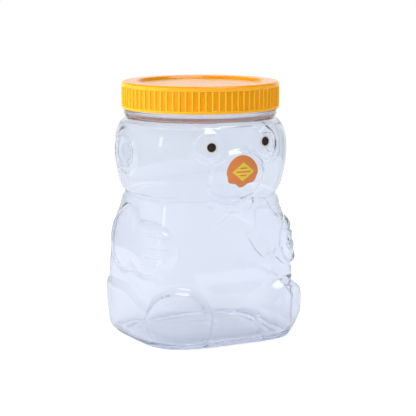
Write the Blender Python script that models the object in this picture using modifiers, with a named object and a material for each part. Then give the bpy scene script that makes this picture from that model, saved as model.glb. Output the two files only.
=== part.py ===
"""Clear bear-shaped food jar with a ribbed screw lid.

The jar stands on z = 0 with its face towards -Y, and the origin is under the middle of
the whole. The neck's axis lies a little behind it, because the muzzle and feet stand out.
The lid, its liner, the eyes and the nose sticker are separate pieces.
All sizes below are millimetres; MM turns them into Blender's metres.
"""

import bmesh
import bpy
import numpy as np
from mathutils import Matrix, Vector

MM = 0.001
GAP = 0.3
MERGE = 0.0001
NECK_BEHIND_MIDDLE = 3.3

# The bear's plain outline by height: height, half width, front depth, back depth, squareness.
# Squareness is the power of a rounded rectangle: 2 is an ellipse, 4 a soft square.
# The last row is the foot of the neck.
OUTLINE = [
    (2.0, 46.2, 43.8, 39.5, 3.9),
    (5.0, 47.5, 44.0, 40.8, 3.9),
    (10.0, 47.9, 44.0, 43.0, 3.9),
    (22.0, 48.3, 44.8, 44.4, 3.9),
    (38.0, 47.5, 43.0, 44.8, 4.0),
    (54.0, 46.4, 42.0, 44.2, 3.9),
    (68.0, 45.0, 41.2, 43.0, 3.4),
    (78.0, 42.8, 40.2, 41.8, 2.9),
    (84.0, 42.6, 39.8, 41.5, 2.7),
    (91.0, 45.0, 41.9, 43.2, 2.6),
    (99.0, 47.0, 44.8, 45.2, 2.5),
    (109.0, 47.4, 46.6, 46.2, 2.5),
    (118.0, 47.4, 46.8, 46.6, 2.35),
    (123.0, 46.8, 46.6, 46.4, 2.1),
    (126.2, 44.8, 44.8, 44.8, 2.0),
    (127.6, 42.4, 42.4, 42.4, 2.0),
]
NECK_FOOT = OUTLINE[-1][0]
NECK_FOOT_RADIUS = OUTLINE[-1][1]

# Jar wall, base and neck finish
WALL = 1.0
HEEL_RADIUS = 2.6
PUSH_UP = 4.0
NECK_WALL = 1.8
NECK_RADIUS = NECK_FOOT_RADIUS + 0.6
BORE_RADIUS = NECK_RADIUS - NECK_WALL
BEAD_RADIUS = NECK_RADIUS + 1.3
BEAD_FOOT = NECK_FOOT + 1.5
BEAD_HEIGHT = 2.8
BEAD_TOP = BEAD_FOOT + BEAD_HEIGHT
MOUTH_HEIGHT = 11.8
MOUTH_TOP = BEAD_TOP + MOUTH_HEIGHT
MOUTH_CHAMFER = 0.3

# Lid and liner, stacked on the bead and the mouth. RIB_TURN is how far the screwed-down
# lid stands turned, in degrees, which sets where its ribs end up.
LINER_THICKNESS = 1.0
LINER_FOOT = MOUTH_TOP + GAP
LID_UNDERSIDE = LINER_FOOT + LINER_THICKNESS + GAP
LID_PANEL = 1.3
RECESS_DEPTH = 1.4
LID_TOP = LID_UNDERSIDE + LID_PANEL + RECESS_DEPTH
LID_FOOT = BEAD_TOP + 0.7
THREAD_ROOM = 1.6
LID_INNER_RADIUS = NECK_RADIUS + THREAD_ROOM
LID_WALL = 0.7
RIB_HEIGHT = 0.45
LID_RADIUS = LID_INNER_RADIUS + LID_WALL + RIB_HEIGHT
LID_EDGE = 2.4
LID_BAND = 1.4
RECESS_RADIUS = 36.6
RECESS_SLOPE = 0.5
LINER_RADIUS = LID_INNER_RADIUS - 1.4
RIB_COUNT = 76
RIB_RADIUS = 0.62
RIB_SIDES = 6
RIB_TURN = -1.7

# Raised details on the bear. Angles are measured from the front, in degrees. An edge is the
# width over which a detail falls away at its rim.
ARC = 50.0
BASE_FADE = 4.0
MUZZLE = {"below_neck": 30.1, "half_width": 19.0, "half_height": 17.0, "rise": 7.5}
MUZZLE_HEIGHT = NECK_FOOT - MUZZLE["below_neck"]
EYE = {"across": 16.6, "below_neck": 12.9, "rise": 0.9, "flat": 6.6, "edge": 2.6}
EAR = {"angle": 91.0, "height": 109.6, "half_width": 13.5, "half_height": 11.3, "rise": 2.2,
       "edge": 3.0, "rim": 3.6}
ARM = {"angle": 97.0, "height": 59.0, "radius": 17.5, "rise": 2.6, "edge": 4.0}
HAND = {"angle": 66.0, "height": 55.6, "half_width": 20.5, "half_height": 13.6}
FOOT = {"angle": 40.0, "height": 15.9, "half_width": 17.1, "half_height": 18.4, "rise": 4.6,
        "edge": 6.0}
LEG = {"top": 30.8, "fall": 8.5, "run": 31.4, "side_angle": 92.0, "back_angle": 128.0,
       "front_angle": 54.0, "rise": 1.5, "edge": 4.0}
CHIN = {"height": 79.4, "half_width": 12.5, "half_height": 2.0, "rise": 1.5, "edge": 2.0}
BELLY = {"height": 45.0, "half_width": 27.0, "half_height": 24.0, "rise": 1.8}
WAIST_CREASE = {"height": 83.6, "depth": 1.3, "half": 2.2}

# Stickers. They are put on by hand: an eye's dot can sit a little off its boss, out and up.
STICKER = 0.4
LEFT_EYE_OFFSET = (0.3, 1.8)
RIGHT_EYE_OFFSET = (0.0, 0.0)
EYE_BACKING_RADIUS = 3.75
PUPIL_RADIUS = 2.55
NOSE_ABOVE_MUZZLE = 3.5
NOSE_CENTRE = MUZZLE_HEIGHT + NOSE_ABOVE_MUZZLE
NOSE_HALF_WIDTH = 10.0
NOSE_HALF_HEIGHT = 9.0
NOSE_SCALLOP = 0.5

COLORS = {
    "clear_plastic": (0.78, 0.83, 0.90),
    "orange_plastic": (0.92, 0.36, 0.012),
    "white_foam": (0.80, 0.79, 0.76),
    "pale_vinyl": (0.70, 0.68, 0.64),
    "black_vinyl": (0.020, 0.018, 0.016),
    "nose_vinyl": (0.70, 0.21, 0.05),
}


def material(name, roughness, alpha=1.0):
    made = bpy.data.materials.new(name)
    made.use_nodes = True
    shader = made.node_tree.nodes["Principled BSDF"]
    shader.inputs["Base Color"].default_value = (*COLORS[name], 1.0)
    shader.inputs["Roughness"].default_value = roughness
    shader.inputs["Metallic"].default_value = 0.0
    shader.inputs["Alpha"].default_value = alpha
    made.diffuse_color = (*COLORS[name], alpha)
    return made


def add_object(name, mesh, collection, finish=None):
    """A new object, standing on the foot of the neck's axis."""
    made = bpy.data.objects.new(name, mesh)
    if finish:
        mesh.materials.append(finish)
    collection.objects.link(made)
    made.parent = bpy.data.objects["neck_axis"]
    return made


def shade_round(mesh, angle=35.0):
    mesh.shade_smooth()
    mesh.set_sharp_from_angle(angle=np.radians(angle))


def smooth(value):
    """Ease from 0 to 1 as value goes from 0 to 1."""
    value = np.clip(value, 0.0, 1.0)
    return value * value * (3.0 - 2.0 * value)


def plateau(distance, rise, edge):
    """Height of a raised area: distance is from its rim, negative inside."""
    return rise * smooth(0.5 - distance / edge)


def ellipse_distance(across, up, half_width, half_height):
    """Distance, near enough, from an ellipse's rim; negative inside."""
    ratio = np.hypot(across / half_width, up / half_height)
    slope = np.hypot(across / half_width**2, up / half_height**2)
    return ratio * (ratio - 1.0) / np.maximum(slope, 1e-6)


def bulge(across, up, half_width, half_height, rise, power):
    """A cushion that swells from nothing at an ellipse's rim."""
    inside = np.clip(1.0 - np.hypot(across / half_width, up / half_height) ** 2, 0.0, 1.0)
    return rise * inside**power * smooth(3.0 * inside)


def outline_values(height):
    """Half width, front depth, back depth and squareness at a height, on smooth curves."""
    table = np.array(OUTLINE)
    heights = table[:, 0]
    height = np.clip(height, heights[0], heights[-1])
    low = np.clip(np.searchsorted(heights, height, side="right") - 1, 0, len(heights) - 2)
    span = heights[low + 1] - heights[low]
    t = (height - heights[low]) / span
    values = []
    for column in table.T[1:]:
        slope = np.gradient(column, heights)
        start = (2 * t**3 - 3 * t**2 + 1) * column[low] + (t**3 - 2 * t**2 + t) * span * slope[low]
        end = (3 * t**2 - 2 * t**3) * column[low + 1] + (t**3 - t**2) * span * slope[low + 1]
        values.append(start + end)
    return values


def outline_radius(angle, height):
    """The rounded rectangle, without raised details, heights over the heel rounded in."""
    half_width, front, back, power = outline_values(height)
    depth = back + (front - back) * smooth((np.cos(angle) + 0.35) / 0.7)
    radius = (np.abs(np.sin(angle) / half_width) ** power
              + np.abs(np.cos(angle) / depth) ** power) ** (-1.0 / power)
    below = np.clip(HEEL_RADIUS - height, 0.0, HEEL_RADIUS)
    return radius - HEEL_RADIUS + np.sqrt(HEEL_RADIUS**2 - below**2)


def face_forms(across, height):
    """Muzzle and belly."""
    rise = bulge(across, height - MUZZLE_HEIGHT, MUZZLE["half_width"],
                 MUZZLE["half_height"], MUZZLE["rise"], 0.75)
    return rise + bulge(across, height - BELLY["height"], BELLY["half_width"],
                        BELLY["half_height"], BELLY["rise"], 0.6)


def chin_roll(across, height):
    away = np.hypot(np.maximum(across - CHIN["half_width"], 0.0), height - CHIN["height"])
    return plateau(away - CHIN["half_height"], CHIN["rise"], CHIN["edge"])


def along(arc, degrees):
    """Distance round the side, past the place at an angle from the front."""
    return arc - np.radians(degrees) * ARC


def foot_distance(arc, height):
    return ellipse_distance(along(arc, FOOT["angle"]), height - FOOT["height"],
                            FOOT["half_width"], FOOT["half_height"])


def side_forms(arc, height):
    """Arms and feet. arc is the distance round the side from the front."""
    shoulder = ellipse_distance(along(arc, ARM["angle"]), height - ARM["height"],
                                ARM["radius"], ARM["radius"])
    hand = ellipse_distance(along(arc, HAND["angle"]), height - HAND["height"],
                            HAND["half_width"], HAND["half_height"])
    arm = plateau(np.minimum(shoulder, hand), ARM["rise"], ARM["edge"])
    foot = plateau(foot_distance(arc, height), FOOT["rise"], FOOT["edge"])
    return arm + foot * smooth(height / FOOT["height"])


def side_details(arc, height):
    """Ears with a dished middle, and the thighs behind the feet."""
    ear = ellipse_distance(along(arc, EAR["angle"]), height - EAR["height"],
                           EAR["half_width"], EAR["half_height"])
    rise = (plateau(ear, EAR["rise"], EAR["edge"])
            - plateau(ear + EAR["rim"], EAR["rise"], EAR["edge"]))
    knee = LEG["top"] - LEG["fall"] * smooth(-along(arc, LEG["side_angle"]) / LEG["run"])
    ends = np.maximum(-along(arc, LEG["front_angle"]), along(arc, LEG["back_angle"]))
    thigh = plateau(np.maximum(height - knee, ends), LEG["rise"], LEG["edge"])
    return rise + thigh * smooth(0.5 + foot_distance(arc, height) / FOOT["edge"])


def broad_radius(angle, height):
    """The jar with its large forms only: the wall's inside follows these."""
    radius = outline_radius(angle, height)
    facing = smooth((np.cos(angle) - 0.2) / 0.3)
    rise = facing * face_forms(radius * np.sin(angle), height)
    rise += side_forms(angle * ARC, height)
    crease = (height - WAIST_CREASE["height"]) / WAIST_CREASE["half"]
    rise -= WAIST_CREASE["depth"] * np.exp(-crease**2)
    return radius + rise * smooth(height / BASE_FADE)


def plain_radius(angle, height):
    """The jar with every raised detail but the eye bosses."""
    radius = outline_radius(angle, height)
    facing = smooth((np.cos(angle) - 0.2) / 0.3)
    rise = facing * chin_roll(radius * np.sin(angle), height)
    rise += side_details(angle * ARC, height)
    fade = smooth((NECK_FOOT - 1.6 - height) / 4.0) * smooth(height / BASE_FADE)
    return broad_radius(angle, height) + rise * fade


def on_surface(angle, height, radius_at):
    radius = radius_at(angle, height)
    return np.stack([radius * np.sin(angle), -radius * np.cos(angle),
                     height + 0.0 * radius], axis=-1)


def surface_normal(angle, height, radius_at):
    round_step = np.radians(0.5)
    up_step = 0.4
    round_edge = (on_surface(angle + round_step, height, radius_at)
                  - on_surface(angle - round_step, height, radius_at))
    up_edge = (on_surface(angle, height + up_step, radius_at)
               - on_surface(angle, height - up_step, radius_at))
    normal = np.cross(round_edge, up_edge)
    return normal / np.linalg.norm(normal, axis=-1, keepdims=True)


def angle_across(across, height, radius_at):
    """The angle at which the surface is a given distance to the side."""
    angle = np.arcsin(across / NECK_FOOT_RADIUS)
    for _ in range(12):
        angle = np.arcsin(across / radius_at(angle, height))
    return angle


def eye_seat():
    """Centre and direction of the flat seat on the left eye's boss."""
    height = np.array(NECK_FOOT - EYE["below_neck"])
    angle = angle_across(EYE["across"], height, outline_radius)
    normal = surface_normal(angle, height, outline_radius)
    return on_surface(angle, height, outline_radius) + EYE["rise"] * normal, normal


def jar_radius(angle, height):
    """The whole outer surface: the eye bosses are cut flat to seat the eyes."""
    radius = plain_radius(angle, height)
    centre, normal = eye_seat()
    facing = normal[0] * np.sin(angle) - normal[1] * np.cos(angle)
    flat = (normal @ centre - normal[2] * height) / np.maximum(facing, 0.3)
    away = np.hypot(radius * np.sin(angle) - centre[0], height - centre[2])
    seat = smooth((EYE["flat"] + EYE["edge"] - away) / EYE["edge"])
    return radius + (flat - radius) * seat * (np.cos(angle) > 0.5)


def spaced(*stretches):
    """Values from stretches of (start, end, count), each without its end, and the last end."""
    values = [np.linspace(start, end, count, endpoint=False) for start, end, count in stretches]
    return np.append(np.concatenate(values), stretches[-1][1])


def jar_rows():
    """Rings of points from the underside's centre, up the outside and down the inside."""
    angle = np.radians(spaced((0, 44, 11), (44, 124, 12), (124, 180, 5)))
    half_turn = np.stack([np.sin(angle), -np.cos(angle), 0.0 * angle], axis=-1)
    upright = np.array([0.0, 0.0, 1.0])
    standing = on_surface(angle, np.array(0.0), jar_radius)

    def under(scale, height):
        return standing * scale + upright * height

    def turned(radius, height):
        return half_turn * radius + upright * height

    def outer(height):
        return on_surface(angle, np.array(height), jar_radius)

    def inner_radius(around, at):
        """The large forms moved in towards the axis, by the wall as its slope needs."""
        normal = surface_normal(around, at, outline_radius)
        slope = normal[..., 0] * np.sin(around) - normal[..., 1] * np.cos(around)
        return broad_radius(around, at) - WALL / slope

    def inner(height):
        return on_surface(angle, np.array(height), inner_radius)

    heel_heights = spaced((0.0, HEEL_RADIUS, 3))
    wall_heights = spaced((4.5, 8.0, 1), (8.0, 38.0, 7), (38.0, 74.0, 6), (74.0, 89.0, 5),
                          (89.0, 121.0, 9), (121.0, NECK_FOOT - 1.4, 3))
    floor = PUSH_UP + WALL
    rows = [under(0.55, 0.8 * PUSH_UP), under(0.83, 0.3 * PUSH_UP), under(0.89, 0.0)]
    rows += [outer(height) for height in (*heel_heights, *wall_heights, NECK_FOOT)]
    rows += [
        turned(NECK_FOOT_RADIUS, BEAD_FOOT - 0.8),
        turned(BEAD_RADIUS - 0.3, BEAD_FOOT),
        turned(BEAD_RADIUS, BEAD_FOOT + 0.6),
        turned(BEAD_RADIUS, BEAD_TOP - 0.5),
        turned(NECK_RADIUS, BEAD_TOP),
        turned(NECK_RADIUS, MOUTH_TOP - MOUTH_CHAMFER),
        turned(NECK_RADIUS - MOUTH_CHAMFER, MOUTH_TOP),
        turned(BORE_RADIUS + MOUTH_CHAMFER, MOUTH_TOP),
        turned(BORE_RADIUS, MOUTH_TOP - MOUTH_CHAMFER),
        turned(BORE_RADIUS, NECK_FOOT - 0.4),
    ]
    rows += [inner(height) for height in wall_heights[::-1]]
    rows += [under(0.93, WALL + 0.3), under(0.87, WALL + 0.3), under(0.80, floor - 0.6 * PUSH_UP),
             under(0.50, floor - 0.15 * PUSH_UP)]
    return [PUSH_UP, *rows, floor]


def loft(rows):
    """A skin over rings of points; the first and last entries are heights of the end points.

    Each square is cut along the diagonal that climbs with the angle, inside and outside
    alike, so the wall keeps its thickness.
    """
    shape = bmesh.new()
    first = shape.verts.new((0.0, 0.0, rows[0] * MM))
    last = shape.verts.new((0.0, 0.0, rows[-1] * MM))
    rings = [[shape.verts.new(point * MM) for point in row] for row in rows[1:-1]]
    for low, high in zip(rings, rings[1:]):
        rising = high[0].co.z > low[0].co.z
        for i in range(len(low) - 1):
            corners = [low[i], low[i + 1], high[i + 1], high[i]]
            if not rising:
                corners = corners[1:] + corners[:1]
            shape.faces.new(corners[:3])
            shape.faces.new((corners[2], corners[3], corners[0]))
    for i in range(len(rings[0]) - 1):
        shape.faces.new((first, rings[0][i + 1], rings[0][i]))
        shape.faces.new((last, rings[-1][i], rings[-1][i + 1]))
    mesh = bpy.data.meshes.new("loft")
    shape.to_mesh(mesh)
    shape.free()
    return mesh


def add_jar_body(collection):
    mesh = loft(jar_rows())
    jar = add_object("jar_body", mesh, collection, material("clear_plastic", 0.08, 0.35))
    mirror = jar.modifiers.new("other half", "MIRROR")
    mirror.use_axis = (True, False, False)
    mirror.merge_threshold = MERGE
    shade_round(mesh, 50.0)
    return jar


def lid_profile():
    """From the centre of the top, over the rim, down the skirt and back inside."""
    top_floor = LID_TOP - RECESS_DEPTH
    valley = LID_RADIUS - RIB_HEIGHT
    points = [
        (0.0, top_floor),
        (RECESS_RADIUS - RECESS_SLOPE, top_floor),
        (RECESS_RADIUS, LID_TOP),
    ]
    for turn in np.radians(spaced((90.0, 0.0, 3))):
        points.append((LID_RADIUS - LID_EDGE * (1.0 - np.cos(turn)),
                       LID_TOP - LID_EDGE * (1.0 - np.sin(turn))))
    points += [
        (valley, LID_TOP - LID_EDGE - RIB_HEIGHT),
        (valley, LID_FOOT + LID_BAND + RIB_HEIGHT),
        (LID_RADIUS, LID_FOOT + LID_BAND),
        (LID_RADIUS, LID_FOOT),
        (LID_INNER_RADIUS, LID_FOOT),
        (LID_INNER_RADIUS, LID_UNDERSIDE),
        (0.0, LID_UNDERSIDE),
    ]
    return points


def add_turned(name, points, steps, collection, finish):
    """A profile of (radius, height) points spun about the neck's axis."""
    mesh = bpy.data.meshes.new(name)
    mesh.from_pydata([(radius * MM, 0.0, height * MM) for radius, height in points],
                     [(i, i + 1) for i in range(len(points) - 1)], [])
    spun = add_object(name, mesh, collection, finish)
    screw = spun.modifiers.new("spin", "SCREW")
    screw.steps = steps
    screw.render_steps = steps
    screw.use_merge_vertices = True
    screw.merge_threshold = MERGE
    return spun


def rib_cutters(collection):
    """One round rib on each facet of the skirt, sunk into the bands above and below."""
    foot = LID_FOOT + LID_BAND - 0.2
    head = LID_TOP - LID_EDGE + 0.2
    centre = LID_RADIUS - 0.06 - RIB_RADIUS
    shape = bmesh.new()
    for i in range(RIB_COUNT):
        turn = Matrix.Rotation(2.0 * np.pi * (i + 0.5) / RIB_COUNT, 4, "Z")
        place = Matrix.Translation(Vector((centre, 0.0, 0.5 * (foot + head))) * MM)
        bmesh.ops.create_cone(shape, cap_ends=True, segments=RIB_SIDES, radius1=RIB_RADIUS * MM,
                              radius2=RIB_RADIUS * MM, depth=(head - foot) * MM,
                              matrix=turn @ place)
    mesh = bpy.data.meshes.new("ribs")
    shape.to_mesh(mesh)
    shape.free()
    ribs = add_object("rib_guides", mesh, collection)
    ribs.rotation_euler.z = np.radians(RIB_TURN)
    ribs.hide_render = True
    ribs.display_type = "WIRE"
    return ribs


def add_screw_lid(collection, guides):
    lid = add_turned("screw_lid", lid_profile(), RIB_COUNT, collection,
                     material("orange_plastic", 0.35))
    lid.rotation_euler.z = np.radians(RIB_TURN)
    shade_round(lid.data)
    join = lid.modifiers.new("ribs", "BOOLEAN")
    join.operation = "UNION"
    join.solver = "EXACT"
    join.object = rib_cutters(guides)
    return lid


def add_disc(name, radius, thickness, segments, finish, collection):
    """A flat disc standing on its own origin."""
    shape = bmesh.new()
    bmesh.ops.create_cone(shape, cap_ends=True, segments=segments, radius1=radius * MM,
                          radius2=radius * MM, depth=thickness * MM,
                          matrix=Matrix.Translation((0.0, 0.0, 0.5 * thickness * MM)))
    mesh = bpy.data.meshes.new(name)
    shape.to_mesh(mesh)
    shape.free()
    shade_round(mesh)
    return add_object(name, mesh, collection, finish)


def add_liner(collection):
    liner = add_disc("lid_liner", LINER_RADIUS, LINER_THICKNESS, 64,
                     material("white_foam", 0.8), collection)
    liner.location.z = LINER_FOOT * MM
    return liner


def add_eyes(collection):
    """A pale backing and a black pupil over it, flat on each eye's boss."""
    backing_finish = material("pale_vinyl", 0.4)
    pupil_finish = material("black_vinyl", 0.2)
    centre, normal = eye_seat()
    for side, sign, offset in (("left", 1.0, LEFT_EYE_OFFSET), ("right", -1.0, RIGHT_EYE_OFFSET)):
        out = Vector((sign * normal[0], normal[1], normal[2]))
        across = Vector((0.0, 0.0, 1.0)).cross(out).normalized()
        seat = Vector((sign * centre[0], centre[1], centre[2]))
        seat += sign * offset[0] * across + offset[1] * out.cross(across)
        turn = out.to_track_quat("Z", "Y").to_euler()
        for part, radius, lift, finish in (
                ("backing", EYE_BACKING_RADIUS, GAP, backing_finish),
                ("pupil", PUPIL_RADIUS, 2.0 * GAP + STICKER, pupil_finish)):
            disc = add_disc(f"{side}_eye_{part}", radius, STICKER, 24, finish, collection)
            disc.location = (seat + lift * out) * MM
            disc.rotation_euler = turn


def nose_outline(turn):
    """Distance of the sticker's edge from its centre, scalloped along the bottom."""
    radius = 1.0 / np.hypot(np.cos(turn) / NOSE_HALF_WIDTH, np.sin(turn) / NOSE_HALF_HEIGHT)
    below = smooth(-1.5 * np.sin(turn))
    return radius - NOSE_SCALLOP * below * (1.0 + np.cos(6.0 * turn))


def add_nose_sticker(collection):
    """A skin that follows the muzzle at a small gap, thickened outwards."""
    spokes, rings = 28, 4
    turn = np.linspace(0.0, 2.0 * np.pi, spokes, endpoint=False)

    def lifted(across, height):
        angle = angle_across(across, height, jar_radius)
        return (on_surface(angle, height, jar_radius)
                + GAP * surface_normal(angle, height, jar_radius)) * MM

    shape = bmesh.new()
    middle = shape.verts.new(lifted(np.array(0.0), np.array(NOSE_CENTRE)))
    circles = []
    for reach in np.arange(1, rings + 1) / rings:
        edge = reach * nose_outline(turn)
        points = lifted(edge * np.cos(turn), NOSE_CENTRE + edge * np.sin(turn))
        circles.append([shape.verts.new(point) for point in points])
    for i in range(spokes):
        j = (i + 1) % spokes
        shape.faces.new((middle, circles[0][i], circles[0][j]))
        for inside, outside in zip(circles, circles[1:]):
            shape.faces.new((inside[i], outside[i], outside[j], inside[j]))
    mesh = bpy.data.meshes.new("nose_sticker")
    shape.to_mesh(mesh)
    shape.free()
    shade_round(mesh, 50.0)
    nose = add_object("nose_sticker", mesh, collection, material("nose_vinyl", 0.35))
    thicken = nose.modifiers.new("thickness", "SOLIDIFY")
    thicken.thickness = STICKER * MM
    thicken.offset = 1.0
    return nose


def build():
    for leftover in list(bpy.data.objects):
        bpy.data.objects.remove(leftover, do_unlink=True)
    collection = bpy.data.collections.new("bear_jar")
    guides = bpy.data.collections.new("guides")
    bpy.context.scene.collection.children.link(collection)
    bpy.context.scene.collection.children.link(guides)
    neck_axis = bpy.data.objects.new("neck_axis", None)
    neck_axis.location.y = NECK_BEHIND_MIDDLE * MM
    guides.objects.link(neck_axis)
    add_jar_body(collection)
    add_screw_lid(collection, guides)
    add_liner(collection)
    add_eyes(collection)
    add_nose_sticker(collection)


build()
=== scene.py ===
import math

import bpy
import numpy as np
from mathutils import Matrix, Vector


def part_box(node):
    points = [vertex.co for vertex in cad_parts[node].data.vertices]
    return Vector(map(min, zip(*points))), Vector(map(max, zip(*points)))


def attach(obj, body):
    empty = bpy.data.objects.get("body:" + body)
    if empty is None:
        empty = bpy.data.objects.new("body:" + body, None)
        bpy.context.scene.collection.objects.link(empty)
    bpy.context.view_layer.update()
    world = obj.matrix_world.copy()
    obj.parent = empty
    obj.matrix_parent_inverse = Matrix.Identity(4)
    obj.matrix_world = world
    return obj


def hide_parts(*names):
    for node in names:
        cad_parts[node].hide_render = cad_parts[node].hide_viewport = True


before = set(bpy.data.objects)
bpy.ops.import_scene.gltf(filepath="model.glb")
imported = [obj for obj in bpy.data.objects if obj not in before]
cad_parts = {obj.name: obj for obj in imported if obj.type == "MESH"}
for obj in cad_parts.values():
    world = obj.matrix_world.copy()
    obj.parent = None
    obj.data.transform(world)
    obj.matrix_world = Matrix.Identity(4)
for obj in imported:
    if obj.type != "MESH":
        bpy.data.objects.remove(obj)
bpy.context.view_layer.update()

mm = 0.001

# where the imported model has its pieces, in mm
lidLow, lidHigh = (np.array(corner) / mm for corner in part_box("screw_lid"))
jarHigh = np.array(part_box("jar_body")[1]) / mm
linerLow, linerHigh = (np.array(corner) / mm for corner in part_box("lid_liner"))
neckY = (lidLow[1] + lidHigh[1]) / 2  # the neck's axis lies a little behind the middle
neckAxis = Vector((0, neckY, 0))


# colours and nodes

def hexColor(text):
    # sRGB hex to linear
    parts = [int(text[i:i + 2], 16) / 255 for i in (0, 2, 4)]
    return [c / 12.92 if c <= 0.04045 else ((c + 0.055) / 1.055) ** 2.4 for c in parts] + [1]


def addNode(tree, kind, inputs=None, **settings):
    node = tree.nodes.new(kind)
    for name, value in settings.items():
        setattr(node, name, value)
    for name, value in (inputs or {}).items():
        if isinstance(value, bpy.types.NodeSocket):
            tree.links.new(value, node.inputs[name])
        else:
            node.inputs[name].default_value = value
    return node


def newMaterial(name):
    made = bpy.data.materials.new(name)
    made.use_nodes = True
    made.node_tree.nodes.clear()
    output = addNode(made.node_tree, "ShaderNodeOutputMaterial")
    return made, made.node_tree, output


def millimetres(tree):
    # object coordinates as mm
    place = addNode(tree, "ShaderNodeTexCoord").outputs["Object"]
    return addNode(tree, "ShaderNodeVectorMath", {0: place, 3: 1 / mm},
                   operation="SCALE").outputs[0]


def addNoise(tree, place, size, detail=2):
    # a cloudy pattern with spots of about this size in mm
    return addNode(tree, "ShaderNodeTexNoise", {"Vector": place, "Scale": 1 / size,
                                                "Detail": detail}).outputs["Fac"]


def addBump(tree, height, strength, depth):
    # depth in mm
    return addNode(tree, "ShaderNodeBump", {"Height": height, "Strength": strength,
                                            "Distance": depth * mm}).outputs["Normal"]


def mixed(tree, share, low, high, kind="RGBA"):
    # from low to high, which are sockets, numbers or hex colours
    low, high = (hexColor(end) if isinstance(end, str) else end for end in (low, high))
    return addNode(tree, "ShaderNodeMix", {"Factor": share, "A": low, "B": high},
                   data_type=kind).outputs["Result"]


def addMath(tree, operation, *values, clamp=False):
    return addNode(tree, "ShaderNodeMath", dict(enumerate(values)), operation=operation,
                   use_clamp=clamp).outputs[0]


def setSurface(tree, output, inputs):
    shader = addNode(tree, "ShaderNodeBsdfPrincipled", inputs)
    tree.links.new(shader.outputs[0], output.inputs["Surface"])


# meshes

def gridMesh(name, rows, capStart, capEnd):
    # closed rings of points in mm, each as long as the next; the caps are single points at the ends
    rows = np.array(rows)
    rowCount, columnCount = rows.shape[:2]
    points = np.vstack([rows.reshape(-1, 3), capStart, capEnd])
    left = np.arange(rowCount * columnCount).reshape(rowCount, columnCount)
    right = np.roll(left, -1, axis=1)
    faces = np.stack([left[:-1], right[:-1], right[1:], left[1:]], axis=-1).reshape(-1, 4).tolist()
    startPoint, endPoint = len(points) - 2, len(points) - 1
    faces += [[startPoint, b, a] for a, b in zip(left[0].tolist(), right[0].tolist())]
    faces += [[endPoint, a, b] for a, b in zip(left[-1].tolist(), right[-1].tolist())]
    mesh = bpy.data.meshes.new(name)
    mesh.from_pydata((points * mm).tolist(), [], faces)
    mesh.update()
    mesh.shade_smooth()
    return mesh


def addPiece(name, mesh, finish, body, replaced):
    piece = bpy.data.objects.new(name, mesh)
    mesh.materials.append(finish)
    bpy.context.scene.collection.objects.link(piece)
    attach(piece, body)
    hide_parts(replaced)
    return piece


def spaced(*stretches):
    # values from stretches of (start, end, step), with the last end
    values = []
    for start, end, step in stretches:
        count = max(1, round(abs(end - start) / step))
        values.append(np.linspace(start, end, count, endpoint=False))
    return np.append(np.concatenate(values), stretches[-1][1])


def roundCorner(centre, radius, start, end, count):
    # points of (radius, height) on an arc, angles in degrees
    turn = np.radians(np.linspace(start, end, count))
    return [(centre[0] + radius * np.cos(t), centre[1] + radius * np.sin(t)) for t in turn]


def turnedRow(angle, radius, height):
    # points at a radius and height round the axis, each at its angle from the front
    return np.stack([radius * np.sin(angle), -radius * np.cos(angle), height + 0 * radius * angle],
                    axis=-1)


# shapes that the jar's relief is made of, all in mm

def smooth(value):
    value = np.clip(value, 0, 1)
    return value * value * (3 - 2 * value)


def plateau(distance, form):
    # as high as the form's rise inside, falling away over its edge
    return form["rise"] * smooth(0.5 - distance / form["edge"])


def groove(distance, crease):
    return -crease["depth"] * np.exp(-(distance / crease["half"]) ** 2)


def ellipseDistance(form, across, height):
    # below zero inside the form's outline
    up = height - form["height"]
    ratio = np.hypot(across / form["halfWidth"], up / form["halfHeight"])
    slope = np.hypot(across / form["halfWidth"] ** 2, up / form["halfHeight"] ** 2)
    return ratio * (ratio - 1) / np.maximum(slope, 1e-6)


def lineDistance(across, up, start, end):
    runX, runY = end[0] - start[0], end[1] - start[1]
    part = ((across - start[0]) * runX + (up - start[1]) * runY) / (runX ** 2 + runY ** 2)
    part = np.clip(part, 0, 1)
    return np.hypot(across - start[0] - part * runX, up - start[1] - part * runY)


def softMin(a, b, width):
    mix = np.clip(0.5 + 0.5 * (b - a) / width, 0, 1)
    return b * (1 - mix) + a * mix - width * mix * (1 - mix)


def bulge(form, across, height):
    reach = np.hypot(across / form["halfWidth"], (height - form["height"]) / form["halfHeight"])
    inside = np.clip(1 - reach ** 2, 0, 1)
    return form["rise"] * inside ** form["power"] * smooth(3 * inside)


# the jar: angles from the front in degrees, heights above the table in mm

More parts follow.
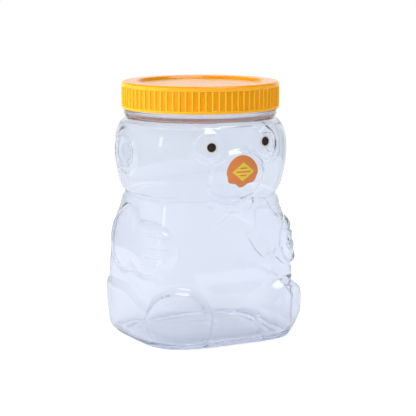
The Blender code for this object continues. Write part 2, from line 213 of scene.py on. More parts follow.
jar = {
    # height, half width, front depth, back depth, squareness
    "outline": [
        (2.0, 46.2, 43.8, 39.5, 3.9),
        (5.0, 47.5, 44.0, 40.8, 3.9),
        (10.0, 47.9, 44.0, 43.0, 3.9),
        (22.0, 48.3, 44.8, 44.4, 3.9),
        (38.0, 47.5, 43.0, 44.8, 4.0),
        (54.0, 46.4, 42.0, 44.2, 3.9),
        (68.0, 45.0, 41.2, 43.0, 3.4),
        (78.0, 42.8, 40.2, 41.8, 2.9),
        (84.0, 42.6, 39.8, 41.5, 2.7),
        (91.0, 45.0, 41.9, 43.2, 2.6),
        (99.0, 47.0, 44.8, 45.2, 2.5),
        (109.0, 47.4, 46.6, 46.2, 2.5),
        (118.0, 47.4, 46.8, 46.6, 2.35),
        (123.0, 46.8, 46.6, 46.4, 2.1),
        (126.2, 44.8, 44.8, 44.8, 2.0),
        (127.6, 42.4, 42.4, 42.4, 2.0),
    ],
    "wall": 0.9,
    "unevenWall": 0.05,
    "heelRadius": 2.6,
    "pushUp": 4.0,
    "arc": 50.0,         # the radius at which the side is measured along
    "baseFade": 4.0,     # relief comes in over this height from the table
    "neckFade": 4.0,     # and goes out over this height below the neck
    "neckClear": 1.6,
    "muzzle": {"height": 97.5, "halfWidth": 19.0, "halfHeight": 17.0, "rise": 7.5, "power": 0.75},
    "belly": {"height": 45.0, "halfWidth": 27.0, "halfHeight": 24.0, "rise": 1.8, "power": 0.6},
    "waist": {"height": 83.6, "depth": 1.3, "half": 2.2},
    "eye": {"across": 16.6, "height": 114.7, "rise": 0.9, "flat": 6.4, "edge": 4.6},
    "eyeRings": [{"radius": 7.4, "depth": 0.6, "half": 0.6},
                 {"radius": 10.6, "depth": 0.45, "half": 0.7}],
    "ear": {"angle": 91.0, "height": 109.6, "halfWidth": 13.5, "halfHeight": 11.3,
            "rise": 2.2, "edge": 4.2, "rim": 4.4},
    "shoulder": {"angle": 97.0, "height": 59.0, "halfWidth": 17.5, "halfHeight": 17.5},
    "hand": {"angle": 66.0, "height": 55.6, "halfWidth": 20.5, "halfHeight": 13.6},
    "arm": {"rise": 2.6, "edge": 4.6, "blend": 5.0},
    "armCrease": {"outside": 1.8, "depth": 0.48, "half": 0.95},
    "fingers": [(47, 59, 62.6), (46, 58.5, 56.5), (51, 63, 50.9)],  # two angles and a height
    "fingerCrease": {"climb": 0.5, "depth": 1.0, "half": 1.0},
    "foot": {"angle": 40.0, "height": 15.9, "halfWidth": 17.1, "halfHeight": 18.4,
             "rise": 4.6, "edge": 5.2},
    "footCrease": {"outside": 2.0, "depth": 0.5, "half": 0.8},
    "thigh": {"top": 30.8, "fall": 8.5, "run": 31.4, "side": 92, "back": 128, "front": 54,
              "rise": 1.5, "edge": 5.5, "besideFoot": 6.0},
    "kneeCrease": {"start": (46, 33.4), "end": (56, 32.6), "depth": 0.5, "half": 1.3},
    "collar": {"height": 78.7, "lift": 3.2, "halfWidth": 12.5, "halfHeight": 1.6,
               "wave": 0.3, "waveLength": 7.0, "rise": 1.55, "edge": 3.2},
    "wing": {"point": 13.7, "pointHeight": 68.3, "hemSlope": 0.62, "side": 14.9,
             "sideSlope": 0.09, "sideHeight": 81.0, "rise": 1.0, "edge": 3.2},
    "mouth": {"height": 97.5, "halfWidth": 18.0, "halfHeight": 13.2, "depth": 0.8, "half": 0.8,
              "top": 90.0, "topFade": 2.0, "end": 13.0, "endFade": 3.0},
    "neckRadius": 43.0,
    "boreRadius": 41.2,
    "notchRadius": 42.4,
    "beadRadius": 44.3,
    "beadFoot": (43.75, 128.3),
    "beadEdge": 130.2,
    "beadTop": 131.9,
    "beadRound": 0.6,
    "lipRound": 0.4,
    "flare": (124.0, 128.2),
}
thread = {"lead": 5.08, "foot": 135.2, "turns": 1.35, "jarRise": 1.15, "halfWidth": 1.15,
          "fadeTurns": 0.06, "lidDrop": 1.434, "lidTurns": 1.1, "lidRise": 1.05}

neckFoot = jar["outline"][-1][0]


def outlineValues(height):
    table = np.array(jar["outline"])
    heights = table[:, 0]
    height = np.clip(height, heights[0], heights[-1])
    low = np.clip(np.searchsorted(heights, height, side="right") - 1, 0, len(heights) - 2)
    span = heights[low + 1] - heights[low]
    t = (height - heights[low]) / span
    values = []
    for column in table.T[1:]:
        slope = np.gradient(column, heights)
        start = (2 * t**3 - 3 * t**2 + 1) * column[low] + (t**3 - 2 * t**2 + t) * span * slope[low]
        end = (3 * t**2 - 2 * t**3) * column[low + 1] + (t**3 - t**2) * span * slope[low + 1]
        values.append(start + end)
    return values


def outlineRadius(angle, height):
    halfWidth, front, back, power = outlineValues(height)
    depth = back + (front - back) * smooth((np.cos(angle) + 0.35) / 0.7)
    radius = (np.abs(np.sin(angle) / halfWidth) ** power
              + np.abs(np.cos(angle) / depth) ** power) ** (-1 / power)
    below = np.clip(jar["heelRadius"] - height, 0, jar["heelRadius"])
    return radius - jar["heelRadius"] + np.sqrt(jar["heelRadius"] ** 2 - below ** 2)


def atSide(degrees):
    return math.radians(degrees) * jar["arc"]


def sideDistance(form, arc, height):
    return ellipseDistance(form, arc - atSide(form["angle"]), height)


def sideLine(arc, height, start, end):
    # how far from a line between two places, each an angle and a height
    return lineDistance(arc, height, (atSide(start[0]), start[1]), (atSide(end[0]), end[1]))


def armDistance(arc, height):
    return softMin(sideDistance(jar["shoulder"], arc, height),
                   sideDistance(jar["hand"], arc, height), jar["arm"]["blend"])


def measured(angle, height):
    # the plain outline's radius, the ways across the front and along the side, and how far
    # a place belongs to the front
    radius = outlineRadius(angle, height)
    turn = np.abs(angle)
    facing = smooth((np.cos(turn) - 0.2) / 0.3)
    return radius, radius * np.sin(turn), turn * jar["arc"], facing


def broadRadius(angle, height):
    # the large forms, which the inside of the wall follows too
    radius, across, arc, facing = measured(angle, height)
    raised = facing * bulge(jar["muzzle"], across, height)
    raised += facing * bulge(jar["belly"], across, height)
    raised += plateau(armDistance(arc, height), jar["arm"])
    foot = plateau(sideDistance(jar["foot"], arc, height), jar["foot"])
    raised += foot * smooth(height / jar["foot"]["height"])
    raised += groove(height - jar["waist"]["height"], jar["waist"])
    return radius + raised * smooth(height / jar["baseFade"])


def sideRelief(arc, height):
    # a dished ear, the thigh and its knee, the fingers, and the lines round arm and foot
    ear = sideDistance(jar["ear"], arc, height)
    raised = plateau(ear, jar["ear"]) - plateau(ear + jar["ear"]["rim"], jar["ear"])

    thigh, footGap = jar["thigh"], sideDistance(jar["foot"], arc, height)
    knee = thigh["top"] - thigh["fall"] * smooth((atSide(thigh["side"]) - arc) / thigh["run"])
    ends = np.maximum(atSide(thigh["front"]) - arc, arc - atSide(thigh["back"]))
    raised += (plateau(np.maximum(height - knee, ends), thigh)
               * smooth(0.5 + footGap / thigh["besideFoot"]))
    crease = jar["kneeCrease"]
    raised += groove(sideLine(arc, height, crease["start"], crease["end"]), crease)

    for start, end, level in jar["fingers"]:
        finger = sideLine(arc, height, (start, level), (end, level + jar["fingerCrease"]["climb"]))
        raised += groove(finger, jar["fingerCrease"])
    for distance, crease in ((armDistance(arc, height), jar["armCrease"]),
                             (footGap, jar["footCrease"])):
        raised += groove(distance - crease["outside"], crease)
    return raised


def frontRelief(across, height):
    # a rolled collar whose ends turn up beside the chin, with two pointed wings below
    collar, wing, mouth = jar["collar"], jar["wing"], jar["mouth"]
    aside = np.minimum(across / collar["halfWidth"], 1.2)
    rollHeight = collar["height"] + collar["lift"] * aside ** 2
    rollHeight += collar["wave"] * np.cos(2 * np.pi * across / collar["waveLength"])
    roll = np.hypot(np.maximum(across - collar["halfWidth"], 0), height - rollHeight)
    raised = plateau(roll - collar["halfHeight"], collar)
    side = across - (wing["side"] - wing["sideSlope"] * (wing["sideHeight"] - height))
    hem = wing["pointHeight"] + wing["hemSlope"] * (wing["point"] - across) - height
    raised += plateau(np.maximum(np.maximum(side, hem), height - collar["height"]), wing)
    # the mouth: a crease under the muzzle
    smile = groove(ellipseDistance(mouth, across, height), mouth)
    return raised + (smile * smooth((mouth["top"] - height) / mouth["topFade"])
                     * smooth((mouth["end"] - across) / mouth["endFade"]))


def reliefDetails(angle, height):
    # what the outside has on top of the large forms
    _, across, arc, facing = measured(angle, height)
    raised = sideRelief(arc, height) + facing * frontRelief(across, height)
    return (raised * smooth((neckFoot - jar["neckClear"] - height) / jar["neckFade"])
            * smooth(height / jar["baseFade"]))


def onSurface(angle, height, radiusAt):
    return turnedRow(angle, radiusAt(angle, height), height)


def surfaceNormal(angle, height, radiusAt):
    turn, lift = math.radians(0.5), 0.4
    aside = onSurface(angle + turn, height, radiusAt) - onSurface(angle - turn, height, radiusAt)
    upwards = onSurface(angle, height + lift, radiusAt) - onSurface(angle, height - lift, radiusAt)
    normal = np.cross(aside, upwards)
    return normal / np.linalg.norm(normal, axis=-1, keepdims=True)


def angleAcross(across, height, radiusAt):
    angle = np.arcsin(across / jar["notchRadius"])
    for _ in range(12):
        angle = np.arcsin(across / radiusAt(angle, height))
    return angle


def eyeSeat():
    # centre and direction of the flat seat on the left eye's boss
    eye = jar["eye"]
    angle = angleAcross(eye["across"], eye["height"], outlineRadius)
    normal = surfaceNormal(angle, eye["height"], outlineRadius)
    return onSurface(angle, eye["height"], outlineRadius) + eye["rise"] * normal, normal


seatCentre, seatNormal = eyeSeat()


def seatedRadius(angle, height):
    # the eye bosses cut flat, and how far each place is from the boss's middle
    eye = jar["eye"]
    turn = np.abs(angle)
    onFace = np.cos(turn) > 0.5
    radius = broadRadius(angle, height) + reliefDetails(angle, height)
    facing = seatNormal[0] * np.sin(turn) - seatNormal[1] * np.cos(turn)
    flat = (seatNormal @ seatCentre - seatNormal[2] * height) / np.maximum(facing, 0.3)
    away = np.hypot(radius * np.sin(turn) - seatCentre[0], height - seatCentre[2])
    seat = smooth((eye["flat"] + eye["edge"] - away) / eye["edge"]) * onFace
    return radius + (flat - radius) * seat, np.where(onFace, away, away + 100)


def jarRadius(angle, height):
    # the whole outside
    radius, away = seatedRadius(angle, height)
    for ring in jar["eyeRings"]:
        radius = radius - groove(away - ring["radius"], ring)
    return radius


def innerRadius(angle, height):
    # a wall's thickness behind the outside, with the waviness of a blown wall
    normal = surfaceNormal(angle, height, outlineRadius)
    slope = normal[..., 0] * np.sin(angle) - normal[..., 1] * np.cos(angle)
    waves = np.sin(5 * angle + 0.11 * height) * np.sin(0.19 * height + 1.3)
    return seatedRadius(angle, height)[0] - (jar["wall"] + jar["unevenWall"] * waves) / slope


def threadRise(angle, height, drop, turns, rise):
    # a ridge that climbs anticlockwise, fading in and out at its ends
    total = 0 * (angle + height)
    wound = np.mod(angle, 2 * np.pi) / (2 * np.pi)
    for lap in range(3):
        run = wound + lap
        ends = smooth(run / thread["fadeTurns"]) * smooth((turns - run) / thread["fadeTurns"])
        off = (height - (thread["foot"] - drop + thread["lead"] * run)) / thread["halfWidth"]
        total = np.maximum(total, rise * ends * smooth(1.5 - 1.5 * np.abs(off)))
    return total


def beadCorners():
    # the bead's underside slopes, with close rows that keep both its edges crisp
    notch, neck, rounded = jar["notchRadius"], jar["neckRadius"], jar["beadRound"]
    bead, edge, top = jar["beadRadius"], jar["beadEdge"], jar["beadTop"]
    footRadius, footHeight = jar["beadFoot"]
    slant = (bead - footRadius) / (edge - footHeight)
    corners = [(notch, footHeight - 0.4), (notch + 0.1, footHeight - 0.1),
               (footRadius - 0.1, footHeight - 0.02), (footRadius, footHeight + 0.05)]
    corners += [(footRadius + slant * up, footHeight + up) for up in (0.15, 0.95, 1.75)]
    corners += [(bead - 0.02, edge + 0.1), (bead, edge + 0.3)]
    corners += roundCorner((bead - rounded, top - rounded), rounded, 0, 90, 5)
    return corners + [(neck + 0.25, top + 0.05), (neck, top + 0.35)]


def neckRows(angle, mouth):
    # the bead, the threaded neck, and the bore down to where it widens
    neck, bore, rounded = jar["neckRadius"], jar["boreRadius"], jar["lipRound"]
    rows = [turnedRow(angle, radius, height) for radius, height in beadCorners()]
    for height in spaced((jar["beadTop"] + 0.7, mouth - 0.9, 0.4)):
        ridge = threadRise(angle, height, 0, thread["turns"], thread["jarRise"])
        rows.append(turnedRow(angle, neck + ridge, height))
    lip = roundCorner((neck - rounded, mouth - rounded), rounded, 0, 90, 5)
    lip += roundCorner((bore + rounded, mouth - rounded), rounded, 90, 180, 5)
    flareLow, flareHigh = jar["flare"]
    lip += [(bore, height) for height in (mouth - 4, mouth - 10, flareHigh)]
    rows += [turnedRow(angle, radius, height) for radius, height in lip]
    flared = innerRadius(angle, flareLow)
    for height in spaced((flareHigh - 0.35, flareLow + 0.35, 0.35)):
        share = smooth((height - flareLow) / (flareHigh - flareLow))
        rows.append(turnedRow(angle, flared + (bore - flared) * share, height))
    return rows


def jarRows():
    # round the section: up the outside from the push-up, over the mouth, down the inside
    angle = np.radians(spaced((-180, -122, 2.4), (-122, -60, 1.15), (-60, 60, 0.95),
                              (60, 122, 1.15), (122, 180, 2.4)))[:-1]
    standing = onSurface(angle, 0.0, jarRadius)
    pushUp, wall = jar["pushUp"], jar["wall"]

    def under(scale, height):
        return standing * scale + np.array([0.0, 0.0, height])

    rows = [under(0.05, pushUp - 0.1)]
    rows += [under(scale, share * pushUp) for scale, share in (
        (0.2, 0.98), (0.4, 0.92), (0.55, 0.8), (0.7, 0.6), (0.8, 0.34), (0.86, 0.1),
        (0.9, 0), (0.97, 0))]
    rows += [onSurface(angle, height, jarRadius) for height in spaced(
        (0, 2.6, 0.45), (2.6, 78, 0.85), (78, 90, 0.65), (90, 122, 0.85), (122, neckFoot, 0.55))]
    rows += neckRows(angle, jarHigh[2])
    rows += [onSurface(angle, height, innerRadius) for height in spaced(
        (jar["flare"][0], 90, 1.3), (90, 78, 0.9), (78, 3.4, 1.4))]
    rows += [under(scale, wall + lift) for scale, lift in (
        (0.955, 0.9), (0.93, 0.35), (0.88, 0.15), (0.83, 0.45))]
    rows += [under(scale, wall + share * pushUp) for scale, share in (
        (0.77, 0.4), (0.68, 0.64), (0.54, 0.82), (0.38, 0.93), (0.2, 0.98))]
    return np.array(rows) + np.array(neckAxis)


# PET, blown: clear and glossy, a faint cool tint, slightly deeper where the wall is seen edge on
def clearPet():
    made, tree, output = newMaterial("blown_pet")
    ripple = addNoise(tree, millimetres(tree), 9, detail=1)
    shader = addNode(tree, "ShaderNodeBsdfPrincipled", {
        "Base Color": hexColor("F8FBFF"), "Roughness": 0.035, "IOR": 1.57,
        "Transmission Weight": 0.96, "Normal": addBump(tree, ripple, 0.25, 0.12)})
    # lamps shine through instead of throwing a hard dark shadow, and light that has been
    # caught inside the wall for several bounces gets out, so that bends don't turn black
    clear = addNode(tree, "ShaderNodeBsdfTransparent", {"Color": hexColor("F8FAFD")})
    path = addNode(tree, "ShaderNodeLightPath")
    bounces = addMath(tree, "MULTIPLY_ADD", path.outputs["Glossy Depth"], 2.0,
                      path.outputs["Ray Depth"])
    caught = addMath(tree, "GREATER_THAN", bounces, 8.5)
    through = addMath(tree, "MAXIMUM", path.outputs["Is Shadow Ray"], caught)
    mix = addNode(tree, "ShaderNodeMixShader", {
        0: through, 1: shader.outputs[0], 2: clear.outputs[0]})
    tint = addNode(tree, "ShaderNodeVolumeAbsorption",
                   {"Color": hexColor("BCBFCC"), "Density": 120.0})
    tree.links.new(mix.outputs[0], output.inputs["Surface"])
    tree.links.new(tint.outputs[0], output.inputs["Volume"])
    return made


def makeJar():
    outside = [0, neckY, jar["pushUp"]]
    inside = [0, neckY, jar["pushUp"] + jar["wall"]]
    mesh = gridMesh("jar_shell", jarRows(), outside, inside)
    addPiece("jar_shell", mesh, clearPet(), "jar", "jar_body")
    print("jar made:", len(mesh.polygons), "faces")


# the lid

lid = {
    "ribs": 76,
    # where the points lie over one rib's pitch, the rib in the middle
    "ribColumns": (0.0, 0.16, 0.30, 0.33, 0.345, 0.38, 0.435, 0.5, 0.565, 0.62, 0.655, 0.67,
                   0.70, 0.84),
    "ribHalf": 0.64,     # half the width of a rib at its foot
    "ribHeight": 0.6,
    "turned": -1.7,      # where the ribs stand when the lid is screwed down, in degrees
    "edge": 1.8,
    "shoulder": 2.6,     # the ribs start this far below the top
    "band": 1.4,
    "recessRadius": 36.6,
    "recessDepth": 1.4,
    "panel": 1.3,
    "threadRoom": 1.6,
}
lidOuter = (lidHigh[0] - lidLow[0]) / 2


def lidTop(top, floorHeight):
    # from the middle of the recess to the skirt; the flats have a row close to each end, so
    # that they shade flat
    recess, edge = lid["recessRadius"], lid["edge"]
    points = [(radius, floorHeight) for radius in (1.2, 12, 24, recess - 1.8, recess - 1.25)]
    points += roundCorner((recess - 1.2, floorHeight + 0.6), 0.6, -90, -40, 5)
    points += roundCorner((recess + 0.5, top - 0.45), 0.45, 140, 90, 5)
    points += [(recess + 0.55, top), (recess + 2.5, top), (lidOuter - edge - 0.05, top)]
    return points + roundCorner((lidOuter - edge, top - edge), edge, 90, 0, 9)


def skirtRows(angle, offset, high, low):
    # between the two smooth bands the ribs stand out of the skirt, with rounded ends
    pitch = 2 * np.pi * lidOuter / lid["ribs"]
    fromRib = np.abs(offset - 0.5) * pitch
    ribShape = np.sqrt(np.clip(1 - (fromRib / lid["ribHalf"]) ** 2, 0, 1))
    rows = []
    for height in spaced((high, high - 1.2, 0.15), (high - 1.2, low + 1.2, 1.6),
                         (low + 1.2, low, 0.15)):
        fromEnd = min(high - height, height - low)
        sunk = lid["ribHeight"] * smooth(fromEnd / 0.5)
        ribEnd = math.sqrt(1 - (1 - min(1, fromEnd / 0.9)) ** 2)
        rows.append(turnedRow(angle, lidOuter - sunk * (1 - ribShape * ribEnd), height))
    return rows


def lidRows(floorHeight, ceiling):
    top, foot = lidHigh[2], lidLow[2]
    inside = jar["neckRadius"] + lid["threadRoom"]
    offset = np.tile(lid["ribColumns"], lid["ribs"])
    lap = np.repeat(np.arange(lid["ribs"]), len(lid["ribColumns"]))
    angle = (lap + offset) / lid["ribs"] * 2 * np.pi - np.pi + math.radians(lid["turned"])

    rows = [turnedRow(angle, radius, height) for radius, height in lidTop(top, floorHeight)]
    rows += skirtRows(angle, offset, top - lid["shoulder"], foot + lid["band"])
    points = [(lidOuter, foot + 0.7)]
    points += roundCorner((lidOuter - 0.35, foot + 0.35), 0.35, 0, -90, 5)
    points += roundCorner((inside + 0.25, foot + 0.25), 0.25, -90, -180, 4)
    rows += [turnedRow(angle, radius, height) for radius, height in points]
    for height in spaced((foot + 0.9, ceiling - 1.4, 0.5)):
        ridge = threadRise(angle, height, thread["lidDrop"], thread["lidTurns"], thread["lidRise"])
        rows.append(turnedRow(angle, inside - ridge, height))
    points = roundCorner((inside - 0.5, ceiling - 0.5), 0.5, 0, 90, 5)
    points += [(34, ceiling), (14, ceiling)]
    rows += [turnedRow(angle, radius, height) for radius, height in points]
    return np.array(rows) + np.array(neckAxis)


# polypropylene, injection moulded: satin, slightly milky, the sheen broken by a fine mould grain
def mouldedPolypropylene():
    made, tree, output = newMaterial("moulded_polypropylene")
    place = millimetres(tree)
    grain, flow = addNoise(tree, place, 0.5), addNoise(tree, place, 22)
    # the crests of the ribs and the bands are painted paler than the flutes: a painted highlight
    # for the light that they catch
    split = addNode(tree, "ShaderNodeSeparateXYZ", {0: place})
    flat = addNode(tree, "ShaderNodeCombineXYZ", {"X": split.outputs["X"], "Y": split.outputs["Y"]})
    fromAxis = addNode(tree, "ShaderNodeVectorMath", {0: flat.outputs[0], 1: neckAxis},
                       operation="DISTANCE")
    paintedCrestHighlight = addNode(tree, "ShaderNodeMapRange", {
        "Value": fromAxis.outputs["Value"], "From Min": lidOuter - 0.45,
        "From Max": lidOuter - 0.1, "To Max": 0.75})
    # the paler FFB62C towards the outer radius is the painted highlight on the crests
    color = mixed(tree, paintedCrestHighlight.outputs["Result"], mixed(tree, flow, "FA9A04", "FCA208"), "FFB62C")
    rough = addNode(tree, "ShaderNodeMapRange", {"Value": flow, "To Min": 0.14, "To Max": 0.22})
    setSurface(tree, output, {
        "Base Color": color, "Roughness": rough.outputs["Result"], "IOR": 1.45,
        "Subsurface Weight": 0.85, "Subsurface Radius": (1.0, 0.75, 0.12),
        "Subsurface Scale": 2.2 * mm, "Normal": addBump(tree, grain, 0.12, 0.05)})
    return made


def makeLid():
    floorHeight = lidHigh[2] - lid["recessDepth"]
    ceiling = floorHeight - lid["panel"]
    mesh = gridMesh("lid_shell", lidRows(floorHeight, ceiling), [0, neckY, floorHeight],
                    [0, neckY, ceiling])
    mesh.flip_normals()
    addPiece("lid_shell", mesh, mouldedPolypropylene(), "lid", "screw_lid")
    print("lid made:", len(mesh.polygons), "faces")


# the liner inside the lid

liner = {"edge": 0.25, "land": 0.15, "columns": 160}


# expanded polyethylene foam, sliced: matt, off-white, with pores of a few tenths of a millimetre
def linerFoam():
    made, tree, output = newMaterial("polyethylene_foam")
    pores = addNode(tree, "ShaderNodeTexVoronoi", {"Vector": millimetres(tree), "Scale": 1 / 0.6})
    depth = pores.outputs["Distance"]
    setSurface(tree, output, {
        # the hollows of the pores are painted a little darker than the cell walls: painted shade in
        # the pores
        "Base Color": mixed(tree, depth, "E3E1DB", "F1EFEA"), "Roughness": 0.8, "IOR": 1.5,
        "Normal": addBump(tree, depth, 0.4, 0.15)})
    return made


def makeLiner():
    low, high = linerLow[2], linerHigh[2]
    outer = (linerHigh[0] - linerLow[0]) / 2
    neck, bore, edge = jar["neckRadius"], jar["boreRadius"], liner["edge"]
    pressed = low + liner["land"]  # the mouth has pressed a shallow ring into the underside
    points = [(10, low), (bore - 1, low), (bore, pressed), (neck - 0.3, pressed)]
    points += roundCorner((outer - edge, low + edge), edge, -90, 0, 4)
    points += roundCorner((outer - edge, high - edge), edge, 0, 90, 4)
    points += [(30, high), (10, high)]
    turn = np.linspace(0, 2 * np.pi, liner["columns"], endpoint=False)
    rows = np.array([turnedRow(turn, radius, height) for radius, height in points])
    mesh = gridMesh("liner_disc", rows + np.array(neckAxis), [0, neckY, low], [0, neckY, high])
    addPiece("liner_disc", mesh, linerFoam(), "liner", "lid_liner")
    print("liner made")


# the stickers

sticker = {
    "thickness": 0.28,
    "backingRadius": 3.75,
    "pupilRadius": 2.55,
    "gap": 0.02,
    "leftOffset": (0.3, 1.8),   # out and up from the boss's middle: they are put on by hand
    "rightOffset": (0.0, 0.0),
    "columns": 64,
}


def glueRipple(tree, place):
    # the faint unevenness of a film on its glue, and the bump that it gives
    uneven = addNoise(tree, place, 2.5)
    return uneven, addBump(tree, uneven, 0.2, 0.05)


# vinyl film, printed and cut: smooth, soft gloss, with a faint unevenness from the glue
def vinylFilm(name, darker, paler, roughness):
    made, tree, output = newMaterial(name)
    uneven, normal = glueRipple(tree, millimetres(tree))
    setSurface(tree, output, {
        "Base Color": mixed(tree, uneven, darker, paler), "Roughness": roughness, "IOR": 1.53,
        "Normal": normal})
    return made


def discMesh(name, radius, thickness, centre, out, columns):
    # a thin disc with a rounded edge, its back at centre
    edge = thickness / 2
    points = [(0.4 * radius, 0), (radius - edge, 0)]
    points += roundCorner((radius - edge, edge), edge, -90, 90, 7)[1:]
    points += [(0.4 * radius, thickness)]
    across = Vector((0, 0, 1)).cross(out).normalized()
    upwards = out.cross(across)
    turn = np.linspace(0, 2 * np.pi, columns, endpoint=False)[:, None]
    ring = np.cos(turn) * np.array(across) + np.sin(turn) * np.array(upwards)
    rows = [np.array(centre) + r * ring + h * np.array(out) for r, h in points]
    return gridMesh(name, rows, np.array(centre), np.array(centre) + thickness * np.array(out))


def makeEyes():
    pale = vinylFilm("pale_vinyl_film", "D2CFC9", "D9D6D1", 0.35)
    black = vinylFilm("black_vinyl_film", "272321", "2E2A27", 0.22)
    thickness, gap = sticker["thickness"], sticker["gap"]
    for side, sign in (("left", 1), ("right", -1)):
        outwards, upwards = sticker[f"{side}Offset"]
        out = Vector((sign * seatNormal[0], seatNormal[1], seatNormal[2]))
        across = Vector((0, 0, 1)).cross(out).normalized()
        seat = Vector((sign * seatCentre[0], seatCentre[1], seatCentre[2])) + neckAxis
        seat += sign * outwards * across + upwards * out.cross(across)
        for part, lift, finish, slot in (("backing", gap, pale, "pale_vinyl"),
                                         ("pupil", 2 * gap + thickness, black, "black_vinyl")):
            mesh = discMesh(f"{side}_{part}_film", sticker[f"{part}Radius"], thickness,
                            seat + lift * out, out, sticker["columns"])
            addPiece(f"{side}_{part}_film", mesh, finish, "jar", f"{side}_eye_{part}")
    print("eyes made")


nose = {
    "centre": 101.0,
    "halfWidth": 9.7,
    "halfHeight": 9.0,
    "scallop": 0.7,
    "lobes": 6.6,
    "flare": 0.09,
    "gap": 0.03,
    "thickness": 0.28,
    "edgeReach": 1.012,  # the rounded edge's middle stands this far out
    "rings": 26,
    "spokes": 132,
    "lozengeSlopes": (0.62, 0.78),
    "lozengeReach": 4.2,
    "barReach": 2.9,
    "barSpacing": 2.1,
    "barHalf": 0.36,
}


# printed vinyl: orange ground with a plain yellow lozenge and three short red bars
def noseVinyl():
    made, tree, output = newMaterial("printed_nose_vinyl")
    place = millimetres(tree)
    split = addNode(tree, "ShaderNodeSeparateXYZ", {0: place})

    def ink(distance, reach):
        # 1 within reach, 0 outside, over a tenth of a millimetre
        beyond = addMath(tree, "SUBTRACT", distance, reach)
        return addMath(tree, "MULTIPLY", addMath(tree, "SUBTRACT", 0.05, beyond), 10.0, clamp=True)

    lift = addMath(tree, "SUBTRACT", split.outputs["Z"], nose["centre"])
    sides = [addMath(tree, "MULTIPLY", addMath(tree, "ABSOLUTE", way), slope)
             for way, slope in zip((split.outputs["X"], lift), nose["lozengeSlopes"])]
    lozenge = addMath(tree, "ADD", *sides)
    yellow = ink(lozenge, nose["lozengeReach"])
    fromBar = addMath(tree, "PINGPONG", lift, nose["barSpacing"] / 2)
    red = addMath(tree, "MULTIPLY", ink(fromBar, nose["barHalf"]), ink(lozenge, nose["barReach"]))
    uneven, normal = glueRipple(tree, place)
    color = mixed(tree, yellow, mixed(tree, uneven, "CF7636", "D67E3E"), "DDC02A")
    setSurface(tree, output, {
        "Base Color": mixed(tree, red, color, "CF4E4A"), "Roughness": 0.38, "IOR": 1.53,
        "Normal": normal})
    return made


def noseOutline(turn):
    radius = 1 / np.hypot(np.cos(turn) / nose["halfWidth"], np.sin(turn) / nose["halfHeight"])
    below = smooth(-1.6 * np.sin(turn))
    return radius - nose["scallop"] * below * (1 - np.cos(nose["lobes"] * (turn - 1.5 * np.pi)))


def makeNose():
    turn = np.linspace(0, 2 * np.pi, nose["spokes"], endpoint=False)
    outline = noseOutline(turn)

    def lifted(reach, gap):
        across = reach * outline * np.cos(turn) * (1 - nose["flare"] * np.sin(turn))
        height = nose["centre"] + reach * outline * np.sin(turn)
        angle = angleAcross(across, height, jarRadius)
        return (onSurface(angle, height, jarRadius)
                + gap * surfaceNormal(angle, height, jarRadius) + np.array(neckAxis))

    back, front = nose["gap"], nose["gap"] + nose["thickness"]
    reaches = np.linspace(0, 1, nose["rings"])[1:]
    rows = [lifted(reach, back) for reach in reaches]
    rows += [lifted(nose["edgeReach"], 0.5 * (back + front))]
    rows += [lifted(reach, front) for reach in reaches[::-1]]
    mesh = gridMesh("nose_film", rows, lifted(0, back)[0], lifted(0, front)[0])
    addPiece("nose_film", mesh, noseVinyl(), "jar", "nose_sticker")
    print("nose made")


# studio: floor and lamps in metres, the camera in mm

studio = {
    # parts of the room: which way each lies, and the cosines between which it comes in
    "backdrop": ((0.46, 0.89, 0.0), -0.55, 0.45),
    "window": ((-0.95, 0.2, 0.3), 0.1, 1.0),
    "aboveTable": ((0, 0, 1), -0.04, 0.1),
    "ceiling": ((0, 0, 1), 0.25, 0.7),
    "mirroredBackdrop": ((0.5, 0.866, 0.0), 0.74, 0.96),
    "softbox": ((0.2, -0.17, 0.965), 0.93, 0.97),
    "windowLevel": 2.6,
    "roomLevel": 1.4,
    "backdropLevel": 1.8,
    # reflections see a dark room, as in a photographer's studio, but for the backdrop, a
    # little of the window and the softbox
    "mirroredWindow": 0.06,
    "mirroredRoom": 0.13,
    "mirroredSoftbox": 17.0,
    "roomColor": "E6E8EC",
    "ceilingColor": "8E9094",
    "tableColor": "F2F5FA",
    "white": "FFFFFF",
    "floorRadius": 0.5,
    "paperColor": "DFDFE3",
    "paperLift": 0.5,
    "paperThroughJar": 0.24,
    "lampAim": (0, 0, 0.08),
    "cameraAzimuth": -27.4,
    "cameraElevation": 9.1,
    "cameraDistance": 950.0,
    "cameraLens": 140.3,
    "cameraSensor": 36,
    "cameraReach": 50,
    "aimHeight": 73.2,
    "aimAside": 4.48,
}


def makeFloor():
    # white paper, matt; seen directly or through the jar it is lifted to the background's white
    made, tree, output = newMaterial("studio_paper")
    path = addNode(tree, "ShaderNodeLightPath")
    paper = addNode(tree, "ShaderNodeBsdfDiffuse", {"Color": hexColor(studio["paperColor"])})
    direct = addMath(tree, "MULTIPLY", path.outputs["Is Camera Ray"], studio["paperLift"])
    level = addMath(tree, "MULTIPLY_ADD", path.outputs["Is Transmission Ray"],
                    studio["paperThroughJar"], direct)
    glow = addNode(tree, "ShaderNodeEmission", {"Color": hexColor(studio["white"]),
                                                "Strength": level})
    whole = addNode(tree, "ShaderNodeAddShader", {0: paper.outputs[0], 1: glow.outputs[0]})
    tree.links.new(whole.outputs[0], output.inputs["Surface"])
    turn = np.linspace(0, 2 * np.pi, 96, endpoint=False)
    rim = studio["floorRadius"] * np.stack([np.cos(turn), np.sin(turn), 0 * turn], axis=-1)
    mesh = bpy.data.meshes.new("floor")
    mesh.from_pydata(rim.tolist(), [], [list(range(len(rim)))])
    mesh.materials.append(made)
    floor = bpy.data.objects.new("floor", mesh)
    bpy.context.scene.collection.objects.link(floor)


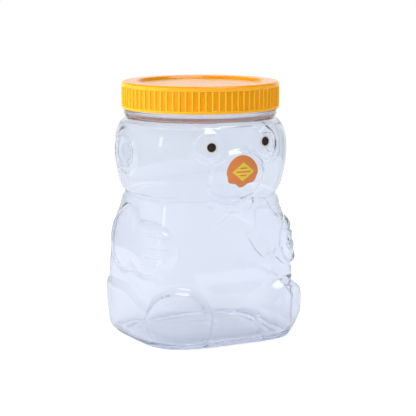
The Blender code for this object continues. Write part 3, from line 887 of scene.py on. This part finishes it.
def makeWorld():
    world = bpy.data.worlds.new("studio")
    bpy.context.scene.world = world
    world.use_nodes = True
    tree = world.node_tree
    tree.nodes.clear()
    path = addNode(tree, "ShaderNodeLightPath")
    direction = addNode(tree, "ShaderNodeTexCoord").outputs["Generated"]

    def towards(part):
        side, low, high = studio[part]
        facing = addNode(tree, "ShaderNodeVectorMath", {0: direction, 1: Vector(side).normalized()},
                         operation="DOT_PRODUCT")
        return addNode(tree, "ShaderNodeMapRange", {"Value": facing.outputs["Value"],
                                                    "From Min": low, "From Max": high},
                       interpolation_type="SMOOTHSTEP").outputs["Result"]

    # a pale room: white backdrop behind, cooler overhead and towards the front, the table's end
    # below it, brightest at the window on the left
    behind, window = towards("backdrop"), towards("window")
    wall = mixed(tree, towards("aboveTable"), studio["tableColor"], studio["white"])
    room = mixed(tree, behind, studio["roomColor"], wall)
    room = mixed(tree, towards("ceiling"), room, studio["ceilingColor"])
    color = mixed(tree, path.outputs["Is Camera Ray"], room, studio["white"])

    def levels(front, back, share, bright):
        # from the front's level to the backdrop's, and the window on top
        base = addNode(tree, "ShaderNodeMapRange", {"Value": share, "To Min": front,
                                                    "To Max": back})
        return addMath(tree, "MULTIPLY_ADD", window, bright, base.outputs["Result"])

    # in shiny surfaces the backdrop is narrower, and the softbox overhead shows
    plain = levels(studio["roomLevel"], studio["backdropLevel"], behind, studio["windowLevel"])
    mirrored = levels(studio["mirroredRoom"], 1.0, towards("mirroredBackdrop"),
                      studio["mirroredWindow"])
    mirrored = addMath(tree, "MULTIPLY_ADD", towards("softbox"), studio["mirroredSoftbox"],
                       mirrored)
    lit = mixed(tree, path.outputs["Is Glossy Ray"], plain, mirrored, "FLOAT")
    # the camera and what is seen through the jar have the room at its plain level
    direct = addMath(tree, "MAXIMUM", path.outputs["Is Camera Ray"],
                     path.outputs["Is Transmission Ray"])
    background = addNode(tree, "ShaderNodeBackground", {
        "Color": color, "Strength": mixed(tree, direct, lit, 1.0, "FLOAT")})
    output = addNode(tree, "ShaderNodeOutputWorld")
    tree.links.new(background.outputs[0], output.inputs["Surface"])


def addLamp(name, place, size, power, color):
    data = bpy.data.lights.new(name, "AREA")
    data.shape = "RECTANGLE"
    data.size, data.size_y = size
    data.energy = power
    data.color = hexColor(color)[:3]
    lamp = bpy.data.objects.new(name, data)
    lamp.location = place
    facing = Vector(studio["lampAim"]) - Vector(place)
    lamp.rotation_euler = facing.to_track_quat("-Z", "Y").to_euler()
    bpy.context.scene.collection.objects.link(lamp)
    return lamp


def makeLamps():
    addLamp("left_strip", (-1.3, -0.1, 0.5), (0.14, 0.7), 0.5, "FFFAF2")
    overhead = addLamp("top_softbox", (-0.2, -0.2, 1.15), (0.3, 0.3), 0.4, "FFFFFF")
    overhead.visible_glossy = False  # the world's softbox is the one that shines


def makeCamera():
    azimuth = math.radians(studio["cameraAzimuth"])
    elevation = math.radians(studio["cameraElevation"])
    outwards = Vector((math.sin(azimuth) * math.cos(elevation),
                       -math.cos(azimuth) * math.cos(elevation), math.sin(elevation)))
    right = Vector((math.cos(azimuth), math.sin(azimuth), 0))
    aim = neckAxis + Vector((0, 0, studio["aimHeight"])) + studio["aimAside"] * right
    data = bpy.data.cameras.new("camera")
    data.lens = studio["cameraLens"]
    data.sensor_width = studio["cameraSensor"]
    data.clip_end = studio["cameraReach"]
    camera = bpy.data.objects.new("camera", data)
    camera.location = (aim + studio["cameraDistance"] * outwards) * mm
    camera.rotation_euler = outwards.to_track_quat("Z", "Y").to_euler()
    bpy.context.scene.collection.objects.link(camera)
    bpy.context.scene.camera = camera


makeCamera()
makeFloor()
makeWorld()
makeLamps()
print("studio made")
makeJar()
makeLid()
makeLiner()
makeEyes()
makeNose()
bpy.context.scene.view_settings.view_transform = "Standard"
